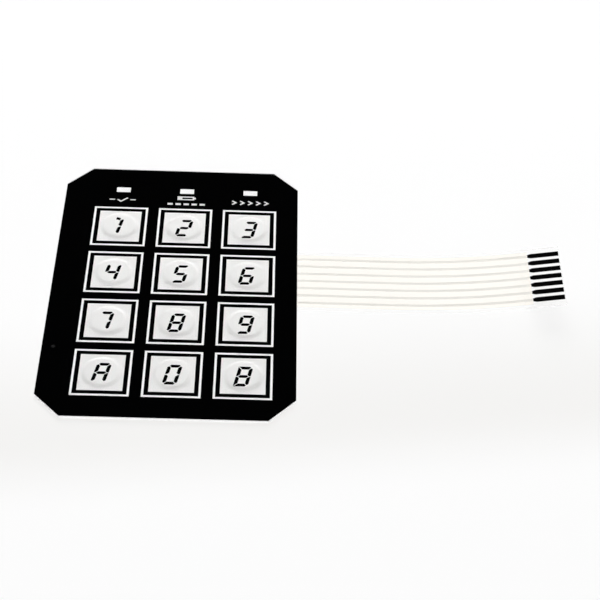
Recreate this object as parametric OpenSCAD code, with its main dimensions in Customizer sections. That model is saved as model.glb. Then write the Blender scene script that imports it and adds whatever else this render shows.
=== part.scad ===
// Membrane keypad of an electronic safe: twelve keys, three indicator windows and a flat printed tail.
// The origin is the middle of the rear face, which lies on Z = 0.
// The tail leaves towards +X, the indicator windows are towards +Y and the keys face +Z.

/* [Plate] */
// Width of the plate, across the key columns
plate_w = 60.9; // [58:0.1:80]
// Height of the plate, along the key columns
plate_h = 85.7; // [80:0.1:110]
// Leg of each 45 degree corner cut
corner_cut = 6.4; // [1:0.1:9]

/* [Key block] */
// Distance between neighbouring keys, across and along
key_pitch = 16.7; // [15:0.1:18]
// Middle of the key block, right of the plate's middle
block_x = 1.2; // [-2:0.1:2]
// Middle of the key block, above the plate's middle
block_y = -4.1; // [-6:0.1:0]
// Width of the printed frame round a key
frame_w = 13.9; // [12:0.1:14.8]
// Height of the printed frame round a key
frame_h = 14.4; // [12:0.1:14.8]
// Width of the frame's line
frame_line = 0.55; // [0.4:0.05:1.2]
// Black gap between the frame and the key's pale face
frame_gap = 1.05; // [0.4:0.05:1.2]

/* [Characters] */
// Height of a seven-segment character
digit_h = 6.2; // [4:0.1:8]
// Width of a character before it is slanted
digit_w = 3.5; // [2:0.1:4.5]
// Width of a segment
segment_w = 0.88; // [0.4:0.02:0.9]
// Gap between two segments
segment_gap = 0.2; // [0.1:0.02:0.4]
// Cut across the outer corners of a character
digit_corner = 0.75; // [0.1:0.05:0.9]
// The same cut at the square left corners of the letter B
square_corner = 0.12; // [0.04:0.02:0.4]
// Lean of the characters to the right, in degrees
digit_slant = 11.6; // [0:0.2:20]
// Length of the flag on the figure 1
flag_l = 1.1; // [0.5:0.1:1.8]
// Rise of that flag towards its tip
flag_rise = 0.3; // [0:0.05:0.8]
// How far the characters stand below the middle of their keys
digit_drop = 0.45; // [0:0.05:0.9]
// How far left the figure 1 stands of a full-width character's place
shift_1 = 1.2; // [0:0.1:2]
// The same for the figure 7
shift_7 = 0.8; // [0:0.1:2]
// The same for the figure 4
shift_4 = 0.4; // [0:0.1:2]

/* [Indicator windows] */
// Width of a window
window_w = 3.65; // [2:0.05:6]
// Height of a window
window_h = 1.8; // [1:0.05:4]
// From the middle of the top key row to the middle of the windows
window_rise = 13.95; // [12.5:0.05:15.5]
// Space round a window in the layers behind it
window_clear = 0.5; // [0.1:0.05:1]

/* [Status symbols] */
// From the middle of the top key row to the middle of the symbols
symbol_rise = 10.15; // [9.5:0.05:10.8]
// Height of a tick or a chevron
symbol_h = 1.8; // [1.2:0.1:2.4]
// Width of the symbols' lines
symbol_line = 0.4; // [0.2:0.02:0.48]
// Width of the tick
tick_w = 2.6; // [1.6:0.1:3.4]
// Width of a small mark, such as a chevron
mark_w = 1.4; // [0.8:0.1:1.7]
// Space between two marks
mark_gap = 0.7; // [0.3:0.1:1.2]
// Width of the battery's cell
cell_w = 4.4; // [3:0.1:7]
// Height of the battery's cell
cell_h = 1.4; // [1.1:0.1:1.7]
// Filled stretch of the cell
charge_w = 0.9; // [0.4:0.1:1.6]
// Height of the bars below the cell
bar_h = 0.7; // [0.4:0.1:1.2]
// From the cell's middle line to the bars'
cell_rise = 2.3; // [1.8:0.1:2.6]

/* [Films and adhesives] */
// Release liner
liner_t = 0.1; // [0.05:0.01:0.2]
// Rear adhesive
rear_adhesive_t = 0.13; // [0.05:0.01:0.3]
// Circuit film and tail
circuit_t = 0.125; // [0.1:0.005:0.2]
// Adhesive between circuit film and spacer
circuit_adhesive_t = 0.05; // [0.04:0.005:0.08]
// Spacer round the domes
spacer_t = 0.125; // [0.1:0.005:0.2]
// Adhesive under the graphic film
overlay_adhesive_t = 0.05; // [0.04:0.005:0.08]
// Printed ink behind the graphic film
ink_t = 0.03; // [0.02:0.005:0.05]
// Clear graphic film
overlay_t = 0.2; // [0.12:0.01:0.3]

/* [Domes] */
// Diameter across a dome's feet
dome_d = 8.5; // [7.5:0.1:9.5]
// Free height of a dome
dome_h = 0.5; // [0.4:0.01:0.7]
// Thickness of the dome's steel
dome_t = 0.07; // [0.05:0.005:0.1]
// Diameter of the dome between its feet
dome_waist_d = 7; // [6:0.1:7.4]
// Width of a foot
foot_w = 1.9; // [1:0.1:2.5]
// Space round a dome in the spacer's hole
dome_clear = 0.25; // [0.1:0.05:0.5]
// Space between a dome's top and the ink above it
dome_gap = 0.06; // [0.01:0.01:0.1]
// Width of the air channels between the holes
channel_w = 1.5; // [0.8:0.1:2.5]
// Radius at which the graphic film lifts off the adhesive round a dome
blister_foot_r = 5.2; // [4.9:0.05:5.4]
// Radius at which the raised film's curve turns over
blister_bend_r = 4.4; // [3:0.1:4.4]
// Width of the curve from the raised film's flat top out to there
blister_shoulder = 0.85; // [0.5:0.05:2.5]

/* [Printed circuit] */
// Thickness of the silver ink
silver_t = 0.025; // [0.015:0.005:0.035]
// Width of a conductor
trace_w = 0.8; // [0.4:0.05:1.2]
// Diameter of the contact under the middle of a dome
contact_d = 3.4; // [2:0.1:4]
// Width of the contact ring under the feet
ring_w = 1.2; // [0.8:0.1:1.6]
// How far the ring reaches outside the feet
ring_margin = 0.5; // [0.2:0.1:1]
// Width of the slot that lets the row conductor through the ring
ring_slot = 2.6; // [2:0.1:3.2]
// Corner cut of the conductors' bends
trace_ease = 0.9; // [0.4:0.1:1.2]

/* [Tail] */
// Distance between neighbouring conductors
contact_pitch = 2.54; // [2:0.01:3]
// Middle of the tail, above the plate's middle
tail_y = 3.2; // [-8:0.1:6]
// Bare film outside the outermost conductor's middle line
tail_margin = 2.54; // [1.5:0.01:5]
// Flat length next to the plate
tail_flat = 24.5; // [5:0.5:60]
// Length of the upward curl
tail_curl = 32; // [10:0.5:60]
// Radius of the curl
tail_curl_r = 172; // [80:1:400]
// Straight length at the contacts
tail_end = 10; // [9:0.5:20]
// Length of a contact pad
pad_l = 7.8; // [4:0.1:8.4]
// Width of a contact pad
pad_w = 1.55; // [1:0.05:1.8]
// Length of the pad's tapered inner end
pad_taper = 0.9; // [0.3:0.1:2]
// How far the pad covers the film beside the silver at its inner end
pad_tip_lap = 0.08; // [0.04:0.01:0.2]
// Film left free past the pads
pad_inset = 0.25; // [0:0.05:0.5]
// How far the pad's ink reaches past the end of the silver
pad_overrun = 0.6; // [0.3:0.1:2]
// Thickness of the pads' carbon ink
carbon_t = 0.045; // [0.04:0.005:0.07]
// Thickness of the insulating coat over the tail's conductors
insulation_t = 0.045; // [0.04:0.005:0.07]
// Film left uncoated along each edge of the tail
insulation_inset = 1; // [0.3:0.1:1.6]
// Thickness of the stiffener under the pads
stiffener_t = 0.2; // [0.1:0.01:0.3]

/* [Hidden] */
$fn = 96;
ARC_FN = 360;
LEGENDS = ["123", "456", "789", "A0B"];
ROWS = len(LEGENDS);
COLS = len(LEGENDS[0]);
LINES = ROWS + COLS;

// Heights of the layers' lower faces
z_circuit = liner_t + rear_adhesive_t;
z_silver = z_circuit + circuit_t;
z_spacer = z_silver + circuit_adhesive_t;
z_overlay_adhesive = z_spacer + spacer_t;
z_ink = z_overlay_adhesive + overlay_adhesive_t;
z_film = z_ink + ink_t;
z_top = z_film + overlay_t;
z_dome = z_silver + silver_t;

// The raised film has a flat top, from which a shoulder arc and a foot arc with a common tangent lead down
blister_h = z_dome + dome_h + dome_gap - z_ink;
blister_flat_r = blister_bend_r - blister_shoulder;
blister_slope = blister_foot_r - blister_flat_r;
both_arcs_r = (pow(blister_slope, 2) + pow(blister_h, 2)) / (2 * blister_h);
shoulder_arc_r = both_arcs_r * blister_shoulder / blister_slope;
foot_arc_r = both_arcs_r - shoulder_arc_r;

face_w = frame_w - 2 * (frame_line + frame_gap);
face_h = frame_h - 2 * (frame_line + frame_gap);
window_y = key_y(0) + window_rise;
symbol_y = key_y(0) + symbol_rise;
hole_r = dome_d / 2 + dome_clear;
ring_r = dome_d / 2 + ring_margin;
dome_r = (pow(dome_d / 2, 2) + pow(dome_h, 2)) / (2 * dome_h);

tail_w = (LINES - 1) * contact_pitch + 2 * tail_margin;
tail_l = tail_flat + tail_curl + tail_end;
curl_angle = tail_curl / tail_curl_r * 180 / PI;
pad_start = tail_l - pad_inset - pad_l;

// The conductors run in evenly spaced lanes: side lanes right of the keys, bus lanes above them.
// Two side lanes serve all rows, because the tail's lines lie between the row conductors.
ROW_LANE = [1, 0, 0, 1];
SIDE_LANES = 2 + COLS;

// How far a cutting shape reaches past the surface that it cuts
CUT_DEPTH = 1;
// How far the flat rim of a raised patch overlaps the layer round it
BLISTER_RIM = 0.2;
// How far the straight stretches of the tail overlap its curl, so that they are one piece
CURL_LAP = 0.001;

function key_x(col) = block_x + (col - (COLS - 1) / 2) * key_pitch;
function key_y(row) = block_y + ((ROWS - 1) / 2 - row) * key_pitch;
function lower(c) = c == "A" ? "a" : c == "B" ? "b" : c;
function dome_name(row, col) = str("dome_", lower(LEGENDS[row][col]));

// Height of conductor k on the tail, counted from the top: the columns first, then the rows
function line_y(k) = tail_y + ((LINES - 1) / 2 - k) * contact_pitch;
function between(a, b, i, n) = a + (b - a) * (i + 1) / (n + 1);
function side_lane(i) = between(key_x(COLS - 1) + ring_r, plate_w / 2, i, SIDE_LANES);
function bus_lane(i) = between(key_y(0) + ring_r, window_y - window_h / 2 - window_clear, i, COLS);

// Outline of a line of width w along the points p, with mitred bends
function left_of(a, b) = let (d = (b - a) / norm(b - a)) [-d.y, d.x];
function mitre(p, i) =
    i == 0 ? left_of(p[0], p[1]) :
    i == len(p) - 1 ? left_of(p[i - 1], p[i]) :
    let (a = left_of(p[i - 1], p[i]), b = left_of(p[i], p[i + 1])) (a + b) / (1 + a * b);
function stroke(p, w) = concat(
    [for (i = [0:len(p) - 1]) p[i] + mitre(p, i) * w / 2],
    [for (i = [len(p) - 1:-1:0]) p[i] - mitre(p, i) * w / 2]
);

// The path p with a cut c across each bend, so that it turns in two steps
function step_from(a, b, c) = a + (b - a) / norm(b - a) * min(c, 0.45 * norm(b - a));
function eased(p, c) = concat(
    [p[0]],
    [for (i = [1:1:len(p) - 2]) each [step_from(p[i], p[i - 1], c), step_from(p[i], p[i + 1], c)]],
    [p[len(p) - 1]]
);

// The seven segments as outlines about the character's middle, before the slant.
// Each is drawn once for the upper right and mirrored; cut is the corner cut at its outer end.
function flipped(p, sx, sy) = [for (q = p) [q.x * sx, q.y * sy]];
function leaning(p) = [for (q = p) [q.x + q.y * tan(digit_slant), q.y]];
function bar_outline(left_cut, right_cut) =
    let (w = digit_w / 2, h = digit_h / 2, s = segment_w, g = segment_gap / 2)
    [
        [left_cut - w, h], [w - right_cut, h], [w - right_cut / 2 - g, h - right_cut / 2],
        [w - s - g, h - s], [s + g - w, h - s], [left_cut / 2 + g - w, h - left_cut / 2]
    ];
function side_outline(cut) =
    let (w = digit_w / 2, h = digit_h / 2, s = segment_w, g = segment_gap / 2)
    [
        [w, h - cut], [w, g], [w - s / 2, g], [w - s, s / 2 + g],
        [w - s, h - s - g], [w - cut / 2, h - cut / 2 - g]
    ];
function middle_outline() =
    let (w = digit_w / 2, s = segment_w, g = segment_gap / 2)
    [
        [s / 2 + g - w, 0], [s + g - w, s / 2], [w - s - g, s / 2],
        [w - s / 2 - g, 0], [w - s - g, -s / 2], [s + g - w, -s / 2]
    ];
function flag_outline() =
    let (x = digit_w / 2 - segment_w - segment_gap / 2, y = digit_h / 2)
    [
        [x, y], [x, y - segment_w],
        [x - flag_l, y - segment_w + flag_rise], [x - flag_l, y + flag_rise]
    ];
function segment_outline(name, left, right) =
    name == "a" ? bar_outline(left, right) :
    name == "b" ? side_outline(right) :
    name == "c" ? flipped(side_outline(right), 1, -1) :
    name == "d" ? flipped(bar_outline(left, right), 1, -1) :
    name == "e" ? flipped(side_outline(left), -1, -1) :
    name == "f" ? flipped(side_outline(left), -1, 1) :
    name == "g" ? middle_outline() : flag_outline();

// Segments that a character lights, with i as the flag on the figure 1
function lit(c) =
    c == "0" ? "abcdef" : c == "1" ? "bci" : c == "2" ? "abdeg" : c == "3" ? "abcdg" :
    c == "4" ? "bcfg" : c == "5" ? "acdfg" : c == "6" ? "acdefg" : c == "7" ? "abc" :
    c == "9" ? "abcdfg" : c == "A" ? "abcefg" : "abcdefg";

function shift_of(c) = c == "1" ? shift_1 : c == "7" ? shift_7 : c == "4" ? shift_4 : 0;

module plate_outline() {
    x = plate_w / 2;
    y = plate_h / 2;
    c = corner_cut;
    polygon([
        [x - c, y], [x, y - c], [x, c - y], [x - c, -y],
        [c - x, -y], [-x, c - y], [-x, y - c], [c - x, y]
    ]);
}

module at_keys() {
    for (row = [0:ROWS - 1], col = [0:COLS - 1]) {
        $legend = LEGENDS[row][col];
        translate([key_x(col), key_y(row)]) children();
    }
}

module rectangle(w, h) {
    square([w, h], center = true);
}

module character(c) {
    left = c == "B" ? square_corner : digit_corner;
    translate([-shift_of(c), -digit_drop])
        for (s = lit(c)) polygon(leaning(segment_outline(s, left, digit_corner)));
}

module characters() {
    at_keys() character($legend);
}

module faces() {
    at_keys() rectangle(face_w, face_h);
}

module frames() {
    at_keys() difference() {
        rectangle(frame_w, frame_h);
        rectangle(frame_w - 2 * frame_line, frame_h - 2 * frame_line);
    }
}

module windows(room = 0) {
    for (col = [0:COLS - 1])
        translate([key_x(col), window_y]) rectangle(window_w + 2 * room, window_h + 2 * room);
}

// Copies of a small mark side by side
module marks(count) {
    for (i = [0:count - 1])
        translate([(i - (count - 1) / 2) * (mark_w + mark_gap), 0]) children();
}

// Ready: a tick between two rules
module tick_symbol() {
    low = (symbol_line - symbol_h) / 2;
    polygon(stroke([[-tick_w / 2, 0], [-tick_w / 6, low], [tick_w / 2, -low]], symbol_line));
    for (side = [-1, 1])
        translate([side * (tick_w / 2 + mark_gap + mark_w / 2), 0]) rectangle(mark_w, symbol_line);
}

// Low battery: a cell with little charge, over a scale of bars
module battery_symbol() {
    knob = symbol_line;
    translate([-knob / 2, cell_rise / 2]) {
        difference() {
            rectangle(cell_w, cell_h);
            translate([charge_w / 2, 0])
                rectangle(cell_w - 2 * symbol_line - charge_w, cell_h - 2 * symbol_line);
        }
        translate([(cell_w + knob) / 2, 0]) rectangle(knob, cell_h / 2);
    }
    translate([0, -cell_rise / 2]) marks(5) rectangle(mark_w, bar_h);
}

// Proceed: a row of chevrons
module chevron_symbol() {
    x = (mark_w - symbol_line) / 2;
    y = (symbol_h - symbol_line) / 2;
    marks(5) polygon(stroke([[-x, y], [x, 0], [-x, -y]], symbol_line));
}

module symbols() {
    translate([key_x(0), symbol_y]) tick_symbol();
    translate([key_x(1), symbol_y]) battery_symbol();
    translate([key_x(2), symbol_y]) chevron_symbol();
}

// Half of a dome's raised film, as the area under its curve at one level.
// A flat rim outside the curve reaches into the layer round it, so that the two are one.
module below_blister(level) {
    base = level - CUT_DEPTH;
    depth = blister_h + CUT_DEPTH;
    translate([0, base]) square([blister_flat_r, depth]);
    intersection() {
        translate([blister_flat_r, level + blister_h - shoulder_arc_r]) circle(shoulder_arc_r, $fn = ARC_FN);
        translate([blister_flat_r, base]) square([blister_shoulder, depth]);
    }
    difference() {
        translate([blister_bend_r, base]) square([blister_foot_r - blister_bend_r, depth]);
        translate([blister_foot_r, level + foot_arc_r]) circle(foot_arc_r, $fn = ARC_FN);
    }
    translate([blister_foot_r - BLISTER_RIM, base]) square([2 * BLISTER_RIM, CUT_DEPTH]);
}

// A layer of the plate from one level to another, raised over every dome
module raised_layer(from, to) {
    translate([0, 0, from]) linear_extrude(to - from) difference() {
        plate_outline();
        at_keys() circle(blister_foot_r);
    }
    at_keys() rotate_extrude() difference() {
        below_blister(to);
        below_blister(from);
    }
}

// The printed ink wherever the flat shape given as a child covers it
module ink_field() {
    intersection() {
        raised_layer(z_ink, z_film);
        translate([0, 0, z_overlay_adhesive])
            linear_extrude(z_top + blister_h - z_overlay_adhesive) children();
    }
}

// A flat layer of the plate with room for the domes, their air channels and the windows
module pierced_layer(from, to, r) {
    translate([0, 0, from]) linear_extrude(to - from) difference() {
        plate_outline();
        at_keys() circle(r);
        for (col = [0:COLS - 1])
            translate([key_x(col), block_y]) rectangle(channel_w, key_y(0) - key_y(ROWS - 1));
        translate([block_x, key_y(ROWS - 1)]) rectangle(key_x(COLS - 1) - key_x(0), channel_w);
        windows(window_clear);
    }
}

// Side view of a strip of the tail, between two heights over the film's lower face
// and between two distances along it from the plate's edge
module strip_profile(low, high, from, to) {
    bend_end = tail_flat + tail_curl;
    if (from < tail_flat)
        translate([from, low]) square([min(to, tail_flat + CURL_LAP) - from, high - low]);
    if (from < bend_end && to > tail_flat) {
        start = max(from - tail_flat, 0) / tail_curl_r * 180 / PI;
        stop = min(to - tail_flat, tail_curl) / tail_curl_r * 180 / PI;
        far = 2 * tail_curl_r;
        translate([tail_flat, tail_curl_r]) intersection() {
            difference() {
                circle(tail_curl_r - low, $fn = ARC_FN * 4);
                circle(tail_curl_r - high, $fn = ARC_FN * 4);
            }
            polygon([[0, 0], [far * sin(start), -far * cos(start)], [far * sin(stop), -far * cos(stop)]]);
        }
    }
    if (to > bend_end) {
        start = max(from - bend_end, -CURL_LAP);
        translate([tail_flat, tail_curl_r]) rotate(curl_angle)
            translate([start, low - tail_curl_r]) square([to - bend_end - start, high - low]);
    }
}

module tail_strip(low, high, from, to, width, y = tail_y) {
    translate([plate_w / 2, y, z_circuit]) rotate([90, 0, 0])
        linear_extrude(width, center = true) strip_profile(low, high, from, to);
}

// Places children on the tail's straight end, with X along it from the given distance
module on_tail_end(distance) {
    translate([plate_w / 2 + tail_flat, tail_y, z_circuit + tail_curl_r]) rotate([0, -curl_angle, 0])
        translate([distance - tail_flat - tail_curl, 0, -tail_curl_r]) children();
}

module row_conductors() {
    for (row = [0:ROWS - 1]) {
        turn_x = side_lane(ROW_LANE[row]);
        y = key_y(row);
        end_y = line_y(COLS + row);
        path = [[key_x(0), y], [turn_x, y], [turn_x, end_y], [plate_w / 2, end_y]];
        polygon(stroke(eased(path, trace_ease), trace_w));
    }
    at_keys() circle(d = contact_d);
}

module column_conductors() {
    ring_middle = ring_r - ring_w / 2;
    for (col = [0:COLS - 1]) {
        x = key_x(col);
        bus_y = bus_lane(COLS - 1 - col);
        turn_x = side_lane(SIDE_LANES - 1 - col);
        end_y = line_y(col);
        start = [x, key_y(0) + ring_middle];
        path = [start, [x, bus_y], [turn_x, bus_y], [turn_x, end_y], [plate_w / 2, end_y]];
        polygon(stroke(eased(path, trace_ease), trace_w));
        for (row = [1:ROWS - 1])
            polygon(stroke([[x, key_y(row - 1) - ring_middle], [x, key_y(row) + ring_middle]], trace_w));
    }
    at_keys() difference() {
        circle(ring_r);
        circle(ring_r - ring_w);
        rectangle(2 * ring_r + 1, ring_slot);
    }
}

module tail_conductors() {
    for (k = [0:LINES - 1])
        tail_strip(circuit_t, circuit_t + silver_t, 0, pad_start + pad_l - pad_overrun, trace_w, line_y(k));
}

// A contact pad on the film's upper side, over the end of a conductor
module pad() {
    tip = trace_w / 2 + pad_tip_lap;
    side = pad_w / 2;
    difference() {
        linear_extrude(carbon_t)
            polygon([
                [0, tip], [pad_taper, side], [pad_l, side],
                [pad_l, -side], [pad_taper, -side], [0, -tip]
            ]);
        translate([-CUT_DEPTH, -trace_w / 2, silver_t - CUT_DEPTH])
            cube([CUT_DEPTH + pad_l - pad_overrun, trace_w, CUT_DEPTH]);
    }
}

module overlay_film() {
    color("#e8eef2", 0.25) raised_layer(z_film, z_top);
}

module black_print() {
    color("#0a0a0c") ink_field() difference() {
        plate_outline();
        frames();
        faces();
        windows();
        symbols();
    }
}

module key_face_print() {
    color("#e6e6e6") ink_field() difference() {
        faces();
        characters();
    }
}

module key_frame_print() {
    color("#f4f4f4") ink_field() frames();
}

module digit_print() {
    color("#101012") ink_field() characters();
}

// Translucent white ink, lit from behind through the openings in the layers under it
module window_print() {
    color("#f4f4f4") ink_field() windows();
}

module status_symbol_print() {
    color("#f4f4f4") ink_field() symbols();
}

module overlay_adhesive() {
    color("#f3efe2", 0.6) pierced_layer(z_overlay_adhesive, z_ink, blister_foot_r);
}

module dome_spacer() {
    color("#f2f4f4") pierced_layer(z_spacer, z_overlay_adhesive, hole_r);
}

module circuit_adhesive() {
    color("#f3efe2", 0.6) difference() {
        pierced_layer(z_silver, z_spacer, hole_r);
        translate([0, 0, z_silver]) linear_extrude(silver_t) {
            row_conductors();
            column_conductors();
        }
    }
}

// A stamped steel dome that stands on four feet at its diagonals
module key_dome(row, col) {
    color("#c9cacc") translate([key_x(col), key_y(row), z_dome]) intersection() {
        translate([0, 0, dome_h - dome_r]) difference() {
            sphere(dome_r, $fn = ARC_FN);
            sphere(dome_r - dome_t, $fn = ARC_FN);
        }
        linear_extrude(dome_h + CUT_DEPTH) {
            circle(d = dome_waist_d);
            intersection() {
                circle(d = dome_d);
                for (turn = [45, -45]) rotate(turn) rectangle(2 * dome_d, foot_w);
            }
        }
    }
}

module silver_circuit() {
    color("#c8c9c4") {
        translate([0, 0, z_silver]) linear_extrude(silver_t) {
            row_conductors();
            column_conductors();
        }
        tail_conductors();
    }
}

module circuit_film() {
    color("#eef0ea", 0.4) {
        translate([0, 0, z_circuit]) linear_extrude(circuit_t) difference() {
            plate_outline();
            windows(window_clear);
        }
        tail_strip(0, circuit_t, 0, tail_l, tail_w);
    }
}

module tail_insulation() {
    color("#f4f1dc", 0.4) difference() {
        tail_strip(circuit_t, circuit_t + insulation_t, 0, pad_start, tail_w - 2 * insulation_inset);
        tail_conductors();
    }
}

module contact_pads() {
    color("#121214") on_tail_end(pad_start)
        for (k = [0:LINES - 1]) translate([0, line_y(k) - tail_y, circuit_t]) pad();
}

module tail_stiffener() {
    color("#f0f0ea") on_tail_end(tail_flat + tail_curl)
        translate([0, -tail_w / 2, -stiffener_t]) cube([tail_end, tail_w, stiffener_t]);
}

module rear_adhesive() {
    color("#f3efe2", 0.6) translate([0, 0, liner_t]) linear_extrude(rear_adhesive_t) difference() {
        plate_outline();
        windows(window_clear);
    }
}

module release_liner() {
    color("#f7f5ee") linear_extrude(liner_t) plate_outline();
}

overlay_film();
black_print();
key_face_print();
key_frame_print();
digit_print();
window_print();
status_symbol_print();
overlay_adhesive();
dome_spacer();
for (row = [0:ROWS - 1], col = [0:COLS - 1])
    key_dome(row, col);
circuit_adhesive();
silver_circuit();
circuit_film();
tail_insulation();
contact_pads();
tail_stiffener();
rear_adhesive();
release_liner();
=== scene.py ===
"""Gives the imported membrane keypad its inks, films and metal, and lights it as in the photograph."""

import math

import bpy
from mathutils import Matrix, Vector


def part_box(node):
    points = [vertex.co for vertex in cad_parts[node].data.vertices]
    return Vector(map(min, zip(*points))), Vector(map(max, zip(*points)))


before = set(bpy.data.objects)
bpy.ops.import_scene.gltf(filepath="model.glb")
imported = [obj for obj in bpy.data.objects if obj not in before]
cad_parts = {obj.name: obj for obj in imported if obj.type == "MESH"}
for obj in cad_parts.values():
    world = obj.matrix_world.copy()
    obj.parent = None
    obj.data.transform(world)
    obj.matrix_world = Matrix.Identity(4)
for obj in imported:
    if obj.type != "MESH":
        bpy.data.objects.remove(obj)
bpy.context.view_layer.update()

MM = 0.001
MICRON = 1e-6

# The photograph is square. Its camera was worked out from the corners of the keys and the plate, with its
# focal length in pixels and its angles in degrees.
PHOTO_PX = 600
FOCAL_PX = 1547.5
SENSOR_MM = 36
CAMERA_AZIMUTH = 1.94
CAMERA_ELEVATION = 46.06
CAMERA_ROLL = 3.01
CAMERA_DISTANCE = 383.1 * MM
# The point of the plate's front that the camera looks at, from the plate's middle
AIM_X = 31.2 * MM
AIM_Y = -3.71 * MM
# The nearest and the farthest that the camera sees, in metres
CLIP_NEAR = 0.01
CLIP_FAR = 20


def add_camera():
    """Places the camera where the photograph was taken from."""
    azimuth = math.radians(CAMERA_AZIMUTH)
    elevation = math.radians(CAMERA_ELEVATION)
    roll = math.radians(CAMERA_ROLL)
    ahead = Vector((
        math.sin(azimuth) * math.cos(elevation),
        math.cos(azimuth) * math.cos(elevation),
        -math.sin(elevation),
    ))
    level_right = ahead.cross(Vector((0, 0, 1))).normalized()
    level_up = level_right.cross(ahead)
    right = level_right * math.cos(roll) + level_up * math.sin(roll)
    up = right.cross(ahead)
    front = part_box("black_print")[1].z
    aim = Vector((AIM_X, AIM_Y, front))
    place = aim - ahead * CAMERA_DISTANCE
    data = bpy.data.cameras.new("camera")
    data.sensor_width = SENSOR_MM
    data.lens = SENSOR_MM * FOCAL_PX / PHOTO_PX
    data.clip_start = CLIP_NEAR
    data.clip_end = CLIP_FAR
    camera = bpy.data.objects.new("camera", data)
    camera.matrix_world = Matrix((
        (right.x, up.x, -ahead.x, place.x),
        (right.y, up.y, -ahead.y, place.y),
        (right.z, up.z, -ahead.z, place.z),
        (0, 0, 0, 1),
    ))
    bpy.context.scene.collection.objects.link(camera)
    bpy.context.scene.camera = camera


class Material:
    """A node material that is built up by short calls."""

    def __init__(self, name):
        self.data = bpy.data.materials.new(name)
        self.data.use_nodes = True
        self.tree = self.data.node_tree
        self.tree.nodes.clear()
        self.output = self.add("ShaderNodeOutputMaterial")

    def feed(self, socket, value):
        """Links an output to a socket, or sets a plain value on it."""
        if isinstance(value, bpy.types.NodeSocket):
            self.tree.links.new(value, socket)
        else:
            socket.default_value = value

    def add(self, kind, **inputs):
        """A node of a kind, with the given inputs, whose names are written with underscores for spaces."""
        node = self.tree.nodes.new(kind)
        for name, value in inputs.items():
            self.feed(node.inputs[name.replace("_", " ")], value)
        return node

    def math(self, operation, *values):
        """A Math node's result for the given values."""
        node = self.tree.nodes.new("ShaderNodeMath")
        node.operation = operation
        for socket, value in zip(node.inputs, values):
            self.feed(socket, value)
        return node.outputs["Value"]

    def mix(self, factor, first, second):
        """Two shaders mixed, all first at factor 0 and all second at 1."""
        node = self.add("ShaderNodeMixShader", Fac=factor)
        self.feed(node.inputs[1], first)
        self.feed(node.inputs[2], second)
        return node.outputs["Shader"]

    def place(self):
        """The point on the object, in metres, which doesn't move with the view."""
        return self.add("ShaderNodeTexCoord").outputs["Object"]

    def place_parts(self):
        """The same point as three outputs, X, Y and Z."""
        return self.add("ShaderNodeSeparateXYZ", Vector=self.place()).outputs

    def stretched(self, scale):
        """The same point with its axes scaled, so that a texture runs longer one way."""
        return self.add("ShaderNodeMapping", Vector=self.place(), Scale=scale).outputs["Vector"]

    def noise(self, size, detail=3.0, roughness=0.5, point=None):
        """Soft noise whose features are about size metres across."""
        return self.add(
            "ShaderNodeTexNoise",
            Vector=point or self.place(),
            Scale=1 / size,
            Detail=detail,
            Roughness=roughness,
        ).outputs["Fac"]

    def ramp(self, factor, *stops, ease=False):
        """Colours along a factor, with smooth turns for ease. A stop is (position, colour)."""
        node = self.add("ShaderNodeValToRGB", Fac=factor)
        node.color_ramp.interpolation = "EASE" if ease else "LINEAR"
        elements = node.color_ramp.elements
        while len(elements) < len(stops):
            elements.new(0.5)
        for element, (position, colour) in zip(elements, stops):
            element.position = position
            element.color = (*colour, 1)
        return node.outputs["Color"]

    def span(self, factor, low, high):
        """A factor from 0 to 1 as a number from low to high."""
        return self.add("ShaderNodeMapRange", Value=factor, To_Min=low, To_Max=high).outputs["Result"]

    def share(self, value, low, high):
        """How far a value is from low to high, as a factor that stays within 0 and 1."""
        return self.add("ShaderNodeMapRange", Value=value, From_Min=low, From_Max=high).outputs["Result"]

    def bump(self, height, depth):
        """A normal bent by a height from 0 to 1 that stands for depth metres."""
        return self.add("ShaderNodeBump", Height=height, Strength=1.0, Distance=depth).outputs["Normal"]

    def finish(self, shader):
        """Makes a shader the surface and returns the material."""
        self.feed(self.output.inputs["Surface"], shader)
        return self.data


def grey(value, warmth=0.0):
    """A linear grey, a little towards yellow where warmth is above 0 and towards blue below it."""
    return (value * (1 + warmth / 2), value, value * (1 - warmth))


WHITE = grey(1.0)
# How far the roughness of a coating goes up and down with its mottle
GLOSS_SPREAD = 0.05


def solid(name, dark, light, roughness, grain, size, shine=0.5):
    """An opaque coating or sheet: an even colour with a fine mottle that also varies its gloss."""
    material = Material(name)
    mottle = material.noise(size, detail=4.0)
    shader = material.add(
        "ShaderNodeBsdfPrincipled",
        Base_Color=material.ramp(mottle, (0.35, dark), (0.65, light)),
        Roughness=material.span(mottle, roughness - GLOSS_SPREAD, roughness + GLOSS_SPREAD),
        Specular_IOR_Level=shine,
        Normal=material.bump(mottle, grain),
    )
    return material.finish(shader.outputs["BSDF"])


def film_ink(name, dark, light):
    """Ink printed on the film's inner face, which has no gloss of its own because it is bonded there."""
    return solid(name, dark, light, roughness=0.6, grain=0.3 * MICRON, size=0.3 * MM, shine=0.0)


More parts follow.
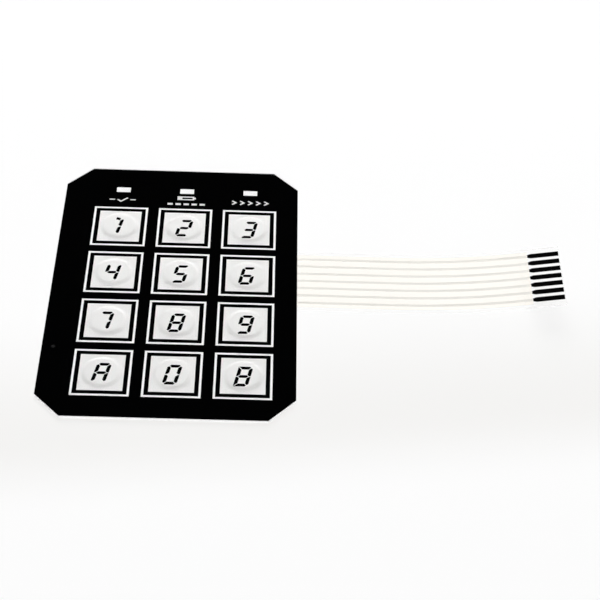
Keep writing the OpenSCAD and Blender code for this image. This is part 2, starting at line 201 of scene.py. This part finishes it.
def clear_film(name, tint, roughness, ripple, ripple_size, haze=0.0, dust=0.0, cover=None, ior=1.5):
    """A clear plastic film: light passes through it, less what its outer faces mirror.

    A ray inside the film leaves it freely, because what it leaves to is bonded or lies close behind.
    A node whose name is given as cover is a coat on this film, which mirrors nothing under it.
    """
    material = Material(name)
    waves = material.noise(ripple_size, detail=2.0)
    normal = material.bump(waves, ripple)
    clear = material.add("ShaderNodeBsdfTransparent", Color=(*tint, 1)).outputs["BSDF"]
    veil = material.add("ShaderNodeBsdfDiffuse", Color=(*tint, 1)).outputs["BSDF"]
    body = material.mix(haze, clear, veil)
    if dust:
        body = material.mix(speck(material, dust), body, veil)
    gloss = material.add("ShaderNodeBsdfGlossy", Roughness=roughness, Normal=normal).outputs["BSDF"]
    mirrored = material.add("ShaderNodeFresnel", IOR=ior, Normal=normal).outputs["Fac"]
    if cover:
        mirrored = material.math("MULTIPLY", mirrored, beside(material, cover))
    outer = material.mix(mirrored, body, gloss)
    way_out = material.add("ShaderNodeBsdfTransparent").outputs["BSDF"]
    from_inside = material.add("ShaderNodeNewGeometry").outputs["Backfacing"]
    return material.finish(material.mix(from_inside, outer, way_out))


def beside(material, node):
    """A factor that is 0 within a node's width and up to its right end, and 1 elsewhere."""
    low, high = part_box(node)
    point = material.place_parts()
    off_middle = material.math("ABSOLUTE", material.math("SUBTRACT", point["Y"], (low.y + high.y) / 2))
    return material.math(
        "MAXIMUM",
        material.math("GREATER_THAN", off_middle, (high.y - low.y) / 2),
        material.math("GREATER_THAN", point["X"], high.x),
    )


# The one speck of dust on the front
SPECK_PLACE = (-27.7 * MM, -21.5 * MM, 0)
SPECK_RADIUS = 0.6 * MM


def speck(material, strength):
    """A factor that is strength in the middle of the speck of dust and fades to 0 at its rim."""
    away = material.tree.nodes.new("ShaderNodeVectorMath")
    away.operation = "DISTANCE"
    material.feed(away.inputs[0], material.stretched((1, 1, 0)))
    material.feed(away.inputs[1], SPECK_PLACE)
    near = material.math("SUBTRACT", 1.0, material.math("DIVIDE", away.outputs["Value"], SPECK_RADIUS))
    return material.math("MULTIPLY", material.math("MAXIMUM", near, 0.0), strength)


def film_edge(name, colour, alpha):
    """The cut edge of a film, where light that runs inside it comes out softly."""
    material = Material(name)
    streaks = material.noise(0.1 * MM, detail=3.0)
    shader = material.add(
        "ShaderNodeBsdfPrincipled",
        Base_Color=material.ramp(streaks, (0.3, grey(0.95 * colour)), (0.7, grey(colour))),
        Roughness=material.span(streaks, 0.3, 0.5),
        Alpha=alpha,
    )
    return material.finish(shader.outputs["BSDF"])


def bonded_face():
    """The side of a clear film that is bonded to the next layer or lies close on it, and mirrors nothing."""
    material = Material("bonded_face")
    return material.finish(material.add("ShaderNodeBsdfTransparent").outputs["BSDF"])


def silver_ink():
    """Matt silver ink: fine metal flakes, with faint streaks along the conductors."""
    material = Material("silver_ink")
    flakes = material.noise(0.06 * MM, detail=2.0)
    streaks = material.noise(0.4 * MM, detail=3.0, point=material.stretched((0.08, 1, 1)))
    patches = material.math("MULTIPLY", flakes, streaks)
    shader = material.add(
        "ShaderNodeBsdfPrincipled",
        Base_Color=material.ramp(patches, (0.1, grey(0.8, 0.03)), (0.45, grey(0.87, 0.03))),
        Metallic=0.1,
        Roughness=material.span(flakes, 0.42, 0.6),
        Normal=material.bump(flakes, 3 * MICRON),
    )
    return material.finish(shader.outputs["BSDF"])


def dome_steel():
    """Bright rolled spring steel, with fine rolling lines."""
    material = Material("dome_steel")
    lines = material.noise(0.05 * MM, detail=3.0, point=material.stretched((0.05, 1, 1)))
    shader = material.add(
        "ShaderNodeBsdfPrincipled",
        Base_Color=material.ramp(lines, (0.3, grey(0.55)), (0.7, grey(0.65))),
        Metallic=1.0,
        Roughness=material.span(lines, 0.2, 0.32),
        Normal=material.bump(lines, 0.5 * MICRON),
    )
    return material.finish(shader.outputs["BSDF"])


def liner_paper():
    """White coated paper with a faint fibre pattern."""
    material = Material("liner_paper")
    fibres = material.noise(0.5 * MM, detail=6.0, roughness=0.7, point=material.stretched((0.4, 1, 1)))
    cloud = material.noise(6 * MM, detail=2.0)
    shader = material.add(
        "ShaderNodeBsdfPrincipled",
        Base_Color=material.ramp(cloud, (0.3, grey(0.93, 0.01)), (0.7, grey(0.95, 0.01))),
        Roughness=material.span(fibres, 0.45, 0.6),
        Normal=material.bump(fibres, 3 * MICRON),
    )
    return material.finish(shader.outputs["BSDF"])


# Layers that are bonded share a face. So that light meets the two faces in their true order, each layer
# named here is shown this many gaps above its place. A gap is at most a tenth of an ink's thickness.
BOND_GAP = 2.5 * MICRON
BOND_STEPS = {
    "overlay_film": 1,
    "circuit_film": 1,
    "silver_circuit": 2,
    "contact_pads": 2,
    "tail_insulation": 3,
}


def part_bonds():
    """Shows the bonded layers parted by those gaps."""
    for name, steps in BOND_STEPS.items():
        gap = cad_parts[name].modifiers.new("bond", "DISPLACE")
        gap.direction = "Z"
        gap.mid_level = 0
        gap.strength = steps * BOND_GAP


def film_materials():
    """The clear layers' materials by node: upper face, cut edge, under face and cut edge on the tail."""
    adhesive = clear_film(
        "adhesive", grey(0.98, 0.04), roughness=0.35, ripple=4 * MICRON, ripple_size=0.8 * MM, haze=0.15
    )
    graphic = clear_film(
        "graphic_film", WHITE, roughness=0.1, ripple=1.2 * MICRON, ripple_size=2.5 * MM, dust=0.03
    )
    circuit = clear_film(
        "circuit_film",
        grey(1.0, 0.005),
        roughness=0.12,
        ripple=1.5 * MICRON,
        ripple_size=4 * MM,
        haze=0.01,
        cover="tail_insulation",
        ior=1.2,
    )
    coat = clear_film(
        "clear_coat",
        grey(1.0, 0.045),
        roughness=0.2,
        ripple=1 * MICRON,
        ripple_size=1 * MM,
        haze=0.01,
        ior=1.2,
    )
    backing = clear_film(
        "stiffener_film",
        grey(1.0, 0.005),
        roughness=0.2,
        ripple=1 * MICRON,
        ripple_size=3 * MM,
        haze=0.03,
    )
    bonded = bonded_face()
    plate_edge = film_edge("plate_edge", 0.96, alpha=1.0)
    tail_edge = film_edge("tail_edge", 0.96, alpha=0.3)
    return {
        "overlay_film": (graphic, plate_edge, bonded),
        "overlay_adhesive": (adhesive, plate_edge, adhesive),
        "circuit_adhesive": (adhesive, plate_edge, adhesive),
        "circuit_film": (circuit, plate_edge, bonded, tail_edge),
        "rear_adhesive": (adhesive, plate_edge, adhesive),
        "tail_insulation": (coat, tail_edge, bonded),
        "tail_stiffener": (bonded, tail_edge, backing),
    }


def solid_materials():
    """The materials of the inks and the other opaque layers, by node."""
    black = film_ink("black_ink", grey(0.0002, -0.3), grey(0.0005, -0.3))
    pale = film_ink("pale_ink", grey(0.886, 0.012), grey(0.906, 0.012))
    white = film_ink("white_ink", grey(0.96), grey(0.97))
    symbol = film_ink("symbol_ink", grey(0.74), grey(0.78))
    spacer = solid(
        "spacer_film", grey(0.93), grey(0.95), roughness=0.35, grain=0.5 * MICRON, size=1 * MM
    )
    carbon = solid(
        "carbon_ink",
        grey(0.0007),
        grey(0.0013),
        roughness=0.7,
        grain=2 * MICRON,
        size=0.12 * MM,
        shine=0.02,
    )
    return {
        "black_print": black,
        "key_face_print": pale,
        "key_frame_print": white,
        "digit_print": black,
        "status_symbol_print": symbol,
        "window_print": white,
        "dome_spacer": spacer,
        "silver_circuit": silver_ink(),
        "contact_pads": carbon,
        "release_liner": liner_paper(),
    }


# The slots of a clear layer's materials
UPPER, EDGE, UNDER, TAIL_EDGE = range(4)
# A face whose normal rises less than this share, up or down, belongs to a layer's cut edge
EDGE_RISE = 0.5


def wear_film(node, upper, edge, under, tail_edge=None):
    """Gives a clear layer the materials of its upper face, its cut edges and its under face."""
    for material in (upper, edge, under, tail_edge or edge):
        node.data.materials.append(material)
    plate_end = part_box("black_print")[1].x
    for face in node.data.polygons:
        rise = face.normal.z
        if abs(rise) >= EDGE_RISE:
            face.material_index = UPPER if rise > 0 else UNDER
        else:
            face.material_index = TAIL_EDGE if face.center.x > plate_end else EDGE


# The clear films and the thin silver, whose faint shadow the photograph doesn't show
SHADOWLESS = ("overlay_film", "circuit_film", "tail_insulation", "tail_stiffener", "silver_circuit")


def dress():
    """Gives each CAD node its material. The nodes without an entry are the domes."""
    films = film_materials()
    solids = solid_materials()
    steel = dome_steel()
    for name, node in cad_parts.items():
        node.data.materials.clear()
        if name in films:
            wear_film(node, *films[name])
        else:
            node.data.materials.append(solids.get(name, steel))
        node.visible_shadow = name not in SHADOWLESS


# The table runs flat for this far and then curves up into a low wall, in metres
FLOOR_RADIUS = 4.0
SWEEP_RADIUS = 1.0
WALL_TOP = 1.6
FLOOR_SIDES = 96
SWEEP_STEPS = 12


def floor_mesh():
    """A round table top, swept up far away all round so that a low view has no dark horizon."""
    profile = [(FLOOR_RADIUS, 0.0)]
    for step in range(1, SWEEP_STEPS + 1):
        turn = math.pi / 2 * step / SWEEP_STEPS
        profile.append((FLOOR_RADIUS + SWEEP_RADIUS * math.sin(turn), SWEEP_RADIUS * (1 - math.cos(turn))))
    profile.append((FLOOR_RADIUS + SWEEP_RADIUS, WALL_TOP))
    corners = []
    for radius, height in profile:
        for side in range(FLOOR_SIDES):
            turn = 2 * math.pi * side / FLOOR_SIDES
            corners.append((radius * math.cos(turn), radius * math.sin(turn), height))
    faces = [tuple(range(FLOOR_SIDES))]
    for ring in range(len(profile) - 1):
        low = ring * FLOOR_SIDES
        high = low + FLOOR_SIDES
        for side in range(FLOOR_SIDES):
            after = (side + 1) % FLOOR_SIDES
            faces.append((low + side, high + side, high + after, low + after))
    mesh = bpy.data.meshes.new("floor")
    mesh.from_pydata(corners, [], faces)
    # All but the flat middle, which is the first face
    for face in mesh.polygons[1:]:
        face.use_smooth = True
    return mesh


FLOOR_COLOUR = grey(0.955)
# The photograph's table is nearly burnt out: where the table is seen, it is plain white by this share
FLOOR_FADE = 0.85
# That white dips a little along the plate's front as a band of painted shade, between the first and the last
# of these places
DIP_START = -3 * MM
DIP_MIDDLE = -46 * MM
DIP_END = -68 * MM
# The darkest colour of the painted shade in front of the plate
PAINTED_SHADE_COLOUR = grey(0.905, 0.015)
# The places lie this much further back for each metre to the right
DIP_SLANT = 0.12


def floor_paint():
    """A pale table that takes shadows, partly plain white where it is seen, with a band of painted shade
    along the plate's front.
    """
    material = Material("floor")
    table = material.add("ShaderNodeBsdfDiffuse", Color=(*FLOOR_COLOUR, 1)).outputs["BSDF"]
    point = material.place_parts()
    along = material.math("SUBTRACT", point["Y"], material.math("MULTIPLY", point["X"], DIP_SLANT))
    along = material.share(along, DIP_END, DIP_START)
    middle = (DIP_MIDDLE - DIP_END) / (DIP_START - DIP_END)
    # Painted shade: the seen white darkens towards the band's middle in front of the plate and comes back to
    # white beyond it
    level = material.ramp(along, (0, WHITE), (middle, PAINTED_SHADE_COLOUR), (1, WHITE), ease=True)
    white = material.add("ShaderNodeEmission", Color=level, Strength=1.0).outputs["Emission"]
    path = material.add("ShaderNodeLightPath")
    seen = material.math("MAXIMUM", path.outputs["Is Camera Ray"], path.outputs["Is Glossy Ray"])
    seen = material.math("MAXIMUM", seen, path.outputs["Is Transmission Ray"])
    return material.finish(material.mix(material.math("MULTIPLY", seen, FLOOR_FADE), table, white))


def add_floor():
    """Puts the table under the keypad."""
    mesh = floor_mesh()
    mesh.materials.append(floor_paint())
    floor = bpy.data.objects.new("floor", mesh)
    bpy.context.scene.collection.objects.link(floor)


# How far away the lamps stand, in metres, and the side of one as a part of that
LAMP_DISTANCE = 3.0
LAMP_SIDE = 0.5
# The back lamp is so near that its light falls off a little towards the front, as in the photograph
NEAR_DISTANCE = 1.2
# The front lamp stands low and lights the plate's front side, so it is a flat strip
LOW_HEIGHT = 0.2


def add_lamp(name, azimuth, elevation, share, mirrored=True, distance=LAMP_DISTANCE, height=LAMP_SIDE):
    """A soft lamp, seen from the keypad at an azimuth clockwise from +Y and at an elevation, in degrees.

    A white table in its light alone would show the lamp's share of white.
    """
    turn = math.radians(azimuth)
    rise = math.radians(elevation)
    away = Vector((
        math.sin(turn) * math.cos(rise),
        math.cos(turn) * math.cos(rise),
        math.sin(rise),
    ))
    data = bpy.data.lights.new(name, "AREA")
    data.shape = "RECTANGLE"
    data.size = distance * LAMP_SIDE
    data.size_y = distance * height
    data.energy = share * math.pi ** 2 * distance ** 2 / math.sin(rise)
    lamp = bpy.data.objects.new(name, data)
    lamp.location = away * distance
    lamp.rotation_mode = "QUATERNION"
    lamp.rotation_quaternion = away.to_track_quat("Z", "Y")
    lamp.visible_glossy = mirrored
    bpy.context.scene.collection.objects.link(lamp)


def add_world(strength):
    """An even dim sky, which fills the shadows."""
    world = bpy.data.worlds.new("world")
    world.use_nodes = True
    background = world.node_tree.nodes["Background"]
    background.inputs["Color"].default_value = (*WHITE, 1)
    background.inputs["Strength"].default_value = strength
    bpy.context.scene.world = world


add_camera()
dress()
part_bonds()
add_floor()
add_world(strength=0.01)
add_lamp("back_lamp", azimuth=0, elevation=27, share=0.73, mirrored=False, distance=NEAR_DISTANCE)
add_lamp("left_lamp", azimuth=-90, elevation=55, share=0.02)
add_lamp("right_lamp", azimuth=90, elevation=55, share=0.15)
add_lamp("front_lamp", azimuth=180, elevation=10, share=0.12, mirrored=False, height=LOW_HEIGHT)
bpy.context.scene.view_settings.view_transform = "Standard"
